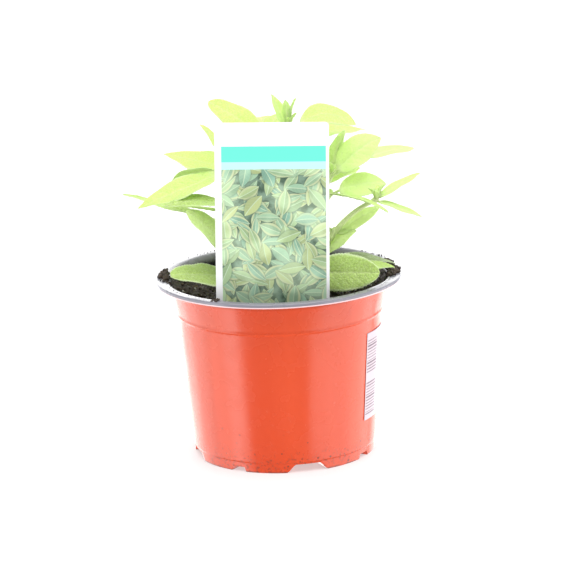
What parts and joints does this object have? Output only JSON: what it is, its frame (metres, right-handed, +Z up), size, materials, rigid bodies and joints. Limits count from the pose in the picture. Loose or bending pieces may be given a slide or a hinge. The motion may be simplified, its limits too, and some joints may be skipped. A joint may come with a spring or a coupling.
{
  "type": "potted sage",
  "caption": "Young sage plant with soft lime-green leaves in a terracotta-coloured plastic nursery pot, with soil, a blank plant label and a plain bar sticker.",
  "frame": {"origin": "in the plane of the surface that the pot's feet stand on, under the middle of the whole plant's box; the pot's axis stands 2.9 mm to its right and 4.8 mm in front of it", "axes": "+Z up, -Y towards the front, where the label faces, +X to the right seen from the front"},
  "size_m": [0.1564, 0.1396, 0.1874],
  "materials": {
    "pot_plastic": "thin thermoformed plastic, terracotta orange outside and dark grey inside",
    "soil": "loose dark potting compost",
    "leaf": "soft, finely haired sage leaf",
    "label_plastic": "smooth white printed plastic",
    "sticker_paper": "smooth coated paper"
  },
  "bodies": {
    "root": {"pot": "pot_plastic", "soil": "soil", "shoot_centre": "leaf", "shoot_left_high": "leaf", "shoot_left_low": "leaf", "shoot_right_high": "leaf", "shoot_right_low": "leaf", "shoot_right_front": "leaf", "shoot_back_left": "leaf", "shoot_back_right": "leaf", "shoot_back_low": "leaf", "label": "label_plastic", "sticker": "sticker_paper"}
  },
  "joints": []
}
